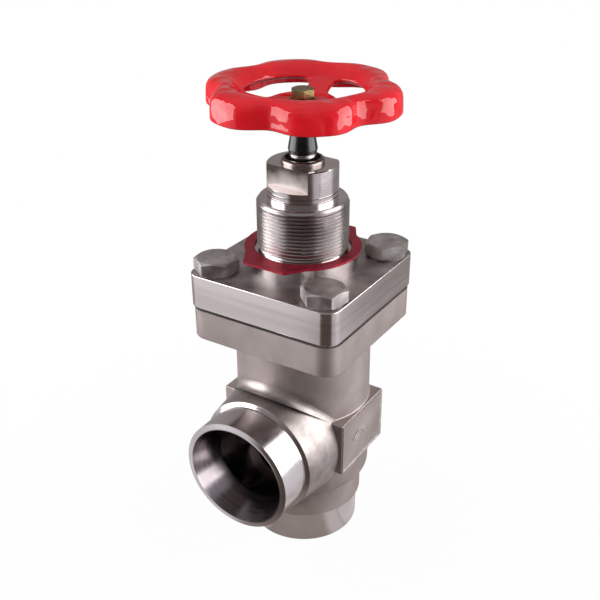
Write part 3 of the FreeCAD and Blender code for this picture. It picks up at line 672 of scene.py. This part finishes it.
def makeCapThread():
    b = bonnet
    pitch, core, crest, steps = b["pitch"], b["core"], b["crest"], b["steps"]
    flank = crest - b["crestDrop"]
    turns = int((b["threadTop"] - b["reliefHigh"]) / pitch) + 2
    start = b["reliefHigh"] - pitch
    bm = bmesh.new()
    profile = [(core - 0.05, 0.0), (core, b["rootFlat"]), (flank, pitch / 2 - b["crestRound"]),
               (crest, pitch / 2 - b["crestFlat"]), (crest, pitch / 2 + b["crestFlat"]),
               (flank, pitch / 2 + b["crestRound"]), (core, pitch - b["rootFlat"]), (core - 0.05, pitch)]
    ridge = [bm.verts.new((r * mm, 0, (start + z) * mm)) for r, z in profile]
    edges = [bm.edges.new((ridge[k], ridge[k + 1])) for k in range(len(ridge) - 1)]
    bmesh.ops.spin(bm, geom=ridge + edges, cent=(0, 0, 0), axis=(0, 0, 1), dvec=(0, 0, pitch * mm / steps),
                   angle=2 * math.pi * turns, steps=steps * turns)
    bmesh.ops.remove_doubles(bm, verts=bm.verts, dist=1e-6)
    for vert in bm.verts:  # the ends run out in the relief and under the chamfer
        z = vert.co.z / mm
        limit = min(crest, b["relief"] + (z - b["reliefHigh"]) * b["startSlope"],
                    b["topCrest"] + (b["threadTop"] - z) * b["endSlope"])
        radius = math.hypot(vert.co.x, vert.co.y) / mm
        if radius > limit:
            share = max(limit, core - 0.3) / radius
            vert.co.x *= share
            vert.co.y *= share
        vert.co.z = min(max(z, b["reliefHigh"]), b["threadTop"] - 0.05) * mm
    return newPiece("capThread", bm, cutThread, "valve_body", 30)


bonnetPlate = makeBonnetPlate()
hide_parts("bonnet")
for piece in (bonnetPlate, makeBonnetTurned(), makeNeckFlats(), makeCapThread()):
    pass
print("bonnet modelled")


# hexagon heads: the corners cut back by a cone to a round crown, a washer face below
fasteners = {
    "bolt": {"flats": 16.0, "head": 6.0, "crown": 7.55, "washer": 7.75, "washerHigh": 0.4, "shank": 4.95,
             "point": 0.8, "edge": 0.13, "slope": 24.0, "washerSlope": 0.35,
             "turns": {"bolt_front_left": 28.0, "bolt_front_right": 18.0, "bolt_back_right": 44.0,
                       "bolt_back_left": 9.0}},
    "screw": {"flats": 8.0, "head": 3.5, "crown": 3.7, "washer": 3.8, "washerHigh": 0.25, "shank": 2.45,
              "point": 0.8, "edge": 0.09, "slope": 24.0, "washerSlope": 0.35,
              "turns": {"handwheel_screw": 8.0}},
}


def makeHexPiece(name, nodeName, size, material, body):
    low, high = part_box(nodeName)
    foot, top = low[2] / mm, high[2] / mm
    seat = top - size["head"]
    under = seat + size["washerHigh"]
    inner = size["flats"] / 2
    bm = bmesh.new()
    spinProfile(bm, [(0, foot), (size["shank"] - size["point"], foot), (size["shank"], foot + size["point"]),
                     (size["shank"], seat), (size["washer"], seat), (size["washer"], under), (inner, under),
                     (inner, top), (size["crown"], top), (0, top)], 96)
    for vert in bm.verts:
        radius = math.hypot(vert.co.x, vert.co.y) / mm
        if radius > inner - 0.01:  # out to the hexagon, down along the cone
            angle = math.degrees(math.atan2(vert.co.y, vert.co.x)) % 60 - 30
            reach = inner / math.cos(math.radians(angle))
            vert.co.x *= reach / radius
            vert.co.y *= reach / radius
            drop = (reach - size["crown"]) * math.tan(math.radians(size["slope"]))
            if vert.co.z > (under + 0.1) * mm:
                vert.co.z -= drop * mm
            else:
                vert.co.z += (reach - size["washer"]) * size["washerSlope"] * mm
    sharp = [e for e in bm.edges if len(e.link_faces) == 2 and e.calc_face_angle(0) > math.radians(18)
             and e.verts[0].co.z > seat * mm
             and math.hypot(e.verts[0].co.x, e.verts[0].co.y) > 0.4 * inner * mm]
    bmesh.ops.bevel(bm, geom=sharp, offset=size["edge"] * mm, affect="EDGES", segments=2, profile=0.5,
                    material=-1)
    centre = [(low[k] + high[k]) / 2 for k in range(2)]
    bmesh.ops.rotate(bm, verts=bm.verts, cent=(0, 0, 0),
                     matrix=Matrix.Rotation(math.radians(size["turns"][nodeName]), 3, "Z"))
    bmesh.ops.translate(bm, verts=bm.verts, vec=(*centre, 0))
    piece = newPiece(name, bm, material, body, 16)
    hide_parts(nodeName)
    return piece


for k, nodeName in enumerate(fasteners["bolt"]["turns"]):
    boltPiece = makeHexPiece("boltHead%d" % (k + 1), nodeName, fasteners["bolt"], boltSteel, "valve_body")
wheelScrew = makeHexPiece("wheelScrew", "handwheel_screw", fasteners["screw"], zincYellow, "spindle")
print("fasteners modelled")


# cast handwheel: one wall of even thickness, lobed skirt, crest and a funnel down to the hub, three windows
wheel = {
    "low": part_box("handwheel")[0].z / mm, "high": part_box("handwheel")[1].z / mm,
    "lobes": 6, "lobeAngle": -48.9, "swing": 2.75, "wall": 2.2, "edge": 0.6,
    # mean radius, height below the crest, share of the lobes
    "outside": [(35.0, -10.3, 1.0), (34.95, -7.5, 1.0), (34.85, -4.6, 0.97), (34.6, -3.0, 0.94),
                (34.0, -1.75, 0.89), (33.1, -0.9, 0.82), (31.8, -0.35, 0.68), (30.4, -0.08, 0.48),
                (29.1, 0.0, 0.29), (27.9, -0.1, 0.15), (26.8, -0.5, 0.07), (25.8, -1.15, 0.02),
                (24.8, -2.1, 0), (23.8, -3.2, 0)],
    # rows of the web between windowOut and windowIn, as shares of half its width from the middle
    "web": (1, 0.86, 0.62, 0.3, 0, -0.3, -0.62, -0.86, -1), "columns": 60, "windowColumns": 24,
    "windows": 3, "windowOut": 22.8, "windowIn": 12.8, "rimDepth": -4.4, "hubDepth": -7.5, "round": 4.5,
    "hub": [(11.5, -7.65), (8.0, -7.65), (2.6, -7.65)], "boss": 7.0, "bossSunk": 1.0, "bore": 3.2,
    "spokeAngle": -18.9, "spokeWide": 8.6,
}


def placeWheelVertex(vert, profileRadius, weight, inWeb):  # lobes outside, straight spokes and round windows
    w = wheel
    sector = 360 / w["windows"]
    angle = (math.degrees(math.atan2(vert.co.y, vert.co.x)) - w["spokeAngle"]) % 360
    middle = (angle // sector + 0.5) * sector
    side = angle - middle
    radius = profileRadius
    border = w["windowColumns"] * sector / w["columns"]
    halfRadial = (w["windowOut"] - w["windowIn"]) / 2
    u, v = side / border, (radius - w["windowIn"]) / halfRadial - 1
    if inWeb and max(abs(u), abs(v)) < 1.001 and max(abs(u), abs(v)) > 0.999:
        shrink = (abs(u) ** w["round"] + abs(v) ** w["round"]) ** (-1 / w["round"])
        u, v = u * shrink, v * shrink
        radius = w["windowIn"] + (v + 1) * halfRadial
    at = min(max(radius, w["windowIn"]), w["windowOut"])
    half = sector / 2 - math.degrees(math.asin(w["spokeWide"] / 2 / at))
    if abs(u) <= 1:
        side = u * half
    else:
        side = math.copysign(half + (abs(u) - 1) * border * (sector / 2 - half) / (sector / 2 - border), u)
    turn = math.radians(w["spokeAngle"] + middle + side)
    wave = math.cos(w["lobes"] * (turn - math.radians(w["lobeAngle"])))
    reach = radius + weight * w["swing"] * (1 - 2 * ((1 - wave) / 2) ** 2)
    vert.co.x, vert.co.y = reach * math.cos(turn) * mm, reach * math.sin(turn) * mm
    if inWeb:
        share = (radius - w["windowIn"]) / (w["windowOut"] - w["windowIn"])
        vert.co.z = (w["high"] + w["hubDepth"] + share * (w["rimDepth"] - w["hubDepth"])) * mm


def makeHandwheel():
    w = wheel
    middle, half = (w["windowOut"] + w["windowIn"]) / 2, (w["windowOut"] - w["windowIn"]) / 2
    web = [(middle + half * v, 0, 0) for v in w["web"]]
    rows = w["outside"] + web + [(r, z, 0) for r, z in w["hub"]]
    bm = bmesh.new()
    layer = bm.verts.layers.int.new("row")
    rim = [bm.verts.new((r * mm, 0, (w["high"] + z) * mm)) for r, z, share in rows]
    for k, vert in enumerate(rim):
        vert[layer] = k
    edges = [bm.edges.new((rim[k], rim[k + 1])) for k in range(len(rim) - 1)]
    bmesh.ops.rotate(bm, verts=rim, cent=(0, 0, 0),
                     matrix=Matrix.Rotation(math.radians(w["spokeAngle"]), 3, "Z"))
    bmesh.ops.spin(bm, geom=rim + edges, cent=(0, 0, 0), axis=(0, 0, 1), angle=2 * math.pi,
                   steps=w["windows"] * w["columns"], use_merge=True)
    bmesh.ops.recalc_face_normals(bm, faces=bm.faces)
    first = len(w["outside"])
    last = first + len(web) - 1
    sector = 360 / w["windows"]
    border = w["windowColumns"] * sector / w["columns"]
    windows = []
    for face in bm.faces:
        rowSpan = [vert[layer] for vert in face.verts]
        centre = face.calc_center_median()
        side = (math.degrees(math.atan2(centre.y, centre.x)) - w["spokeAngle"]) % sector - sector / 2
        if min(rowSpan) >= first and max(rowSpan) <= last and abs(side) < border:
            windows.append(face)
    for vert in bm.verts:
        r, z, share = rows[vert[layer]]
        placeWheelVertex(vert, r, share, first <= vert[layer] <= last)
    bmesh.ops.delete(bm, geom=windows, context="FACES")
    crest = max(bm.faces, key=lambda f: f.calc_center_median().z)
    if crest.normal.z < 0:
        bmesh.ops.reverse_faces(bm, faces=bm.faces)
    bmesh.ops.solidify(bm, geom=bm.faces[:] + bm.edges[:] + bm.verts[:], thickness=w["wall"] * mm)
    bm.normal_update()
    sharp = [e for e in bm.edges if len(e.link_faces) == 2 and e.calc_face_angle(0) > math.radians(50)]
    bmesh.ops.bevel(bm, geom=sharp, offset=w["edge"] * mm, affect="EDGES", segments=3, profile=0.5,
                    material=-1)
    top = w["high"] + w["hub"][0][1] - w["bossSunk"]
    spinProfile(bm, [(w["bore"], w["low"]), (w["boss"], w["low"]), (w["boss"], top), (w["bore"], top)], 64)
    return newPiece("handwheelCasting", bm, redEnamel, "spindle", 40)


handwheelCasting = makeHandwheel()
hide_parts("handwheel")
print("handwheel modelled")


# cast pads: fillets to the body above and below, a raised frame and a flow arrow on the right one
pads = {
    "face": 29.7, "width": 34.8, "height": 24.4, "middle": 54.2,
    "body": (28.88, 28.70),  # its radius below and above the pads
    "fillet": 0.8, "filletSunk": 0.15, "filletEnd": 0.4, "filletSteps": 8,
    "frameInset": 0.5, "frameWide": 0.9, "frameHigh": 0.5, "frameEdge": 0.12,
    "arrowY": (-8.6, -3.0, 4.5), "arrowZ": 54.8, "arrowHead": 6.4, "arrowShaft": 2.0, "arrowHigh": 0.7,
    "arrowSunk": 0.2, "arrowEdge": 0.15,
}


def makePadFillets():
    p = pads
    bm = bmesh.new()
    fillet = p["fillet"]
    half = math.asin((p["width"] / 2 - p["filletEnd"]) / p["body"][0])
    for side in (0, 1):
        for up in (-1, 1):
            z = p["middle"] + up * p["height"] / 2
            wall = p["body"][0] if up < 0 else p["body"][1]
            sunk = wall - p["filletSunk"]
            profile = [(sunk, z - up * 0.1), (wall + fillet, z - up * 0.1)]
            for k in range(p["filletSteps"] + 1):
                angle = math.pi / 2 * k / p["filletSteps"]
                outward, along = 1 - math.sin(angle), 1 - math.cos(angle)
                profile.append((wall + fillet * outward, z + up * fillet * along))
            profile.append((sunk, z + up * fillet))
            start = side * math.pi - half
            rim = [bm.verts.new((r * math.cos(start) * mm, r * math.sin(start) * mm, h * mm))
                   for r, h in profile]
            edges = [bm.edges.new((rim[k], rim[(k + 1) % len(rim)])) for k in range(len(rim))]
            bmesh.ops.spin(bm, geom=rim + edges, cent=(0, 0, 0), axis=(0, 0, 1), angle=2 * half, steps=24)
    bmesh.ops.holes_fill(bm, edges=[e for e in bm.edges if len(e.link_faces) == 1])
    return newPiece("padFillets", bm, castSteel, "valve_body", 50)


def makePadFrame():
    p = pads
    bm = bmesh.new()
    bmesh.ops.create_cube(bm, size=1.0)
    wide, high = p["width"] - 2 * p["frameInset"], p["height"] - 2 * p["frameInset"]
    bmesh.ops.scale(bm, vec=(2 * p["frameHigh"] * mm, wide * mm, high * mm), verts=bm.verts)
    bmesh.ops.translate(bm, vec=(p["face"] * mm, 0, p["middle"] * mm), verts=bm.verts)
    front = [f for f in bm.faces if f.calc_center_median().x > (p["face"] + 0.5 * p["frameHigh"]) * mm]
    bmesh.ops.inset_region(bm, faces=front, thickness=p["frameWide"] * mm, use_even_offset=True)
    front[0].material_index = 1  # the panel inside the frame keeps the casting's skin
    bmesh.ops.translate(bm, vec=(-0.8 * p["frameHigh"] * mm, 0, 0), verts=front[0].verts)
    bmesh.ops.bevel(bm, geom=bm.edges[:], offset=p["frameEdge"] * mm, affect="EDGES", segments=2, profile=0.5,
                    material=-1)
    piece = newPiece("padFrame", bm, rubbedSteel, "valve_body", 40)
    piece.data.materials.append(castSteel)
    return piece


def makeFlowArrow():
    p = pads
    tip, neck, tail = p["arrowY"]
    head, shaft = p["arrowHead"] / 2, p["arrowShaft"] / 2
    outline = [(tip, 0), (neck, head), (neck, shaft), (tail, shaft), (tail, -shaft), (neck, -shaft),
               (neck, -head)]
    sunk = p["face"] - p["arrowSunk"]
    bm = bmesh.new()
    corners = [bm.verts.new((sunk * mm, y * mm, (p["arrowZ"] + z) * mm)) for y, z in outline]
    face = bm.faces.new(corners)
    raised = bmesh.ops.extrude_face_region(bm, geom=[face])["geom"]
    top = [v for v in raised if isinstance(v, bmesh.types.BMVert)]
    bmesh.ops.translate(bm, vec=((p["arrowHigh"] + p["arrowSunk"]) * mm, 0, 0), verts=top)
    rims = [e for e in bm.edges if e.verts[0] in top and e.verts[1] in top]
    bmesh.ops.bevel(bm, geom=rims, offset=p["arrowEdge"] * mm, affect="EDGES", segments=3, profile=0.5,
                    material=-1)
    return newPiece("flowArrow", bm, rubbedSteel, "valve_body", 40)


for piece in (makePadFillets(), makePadFrame(), makeFlowArrow()):
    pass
print("cast pads dressed")
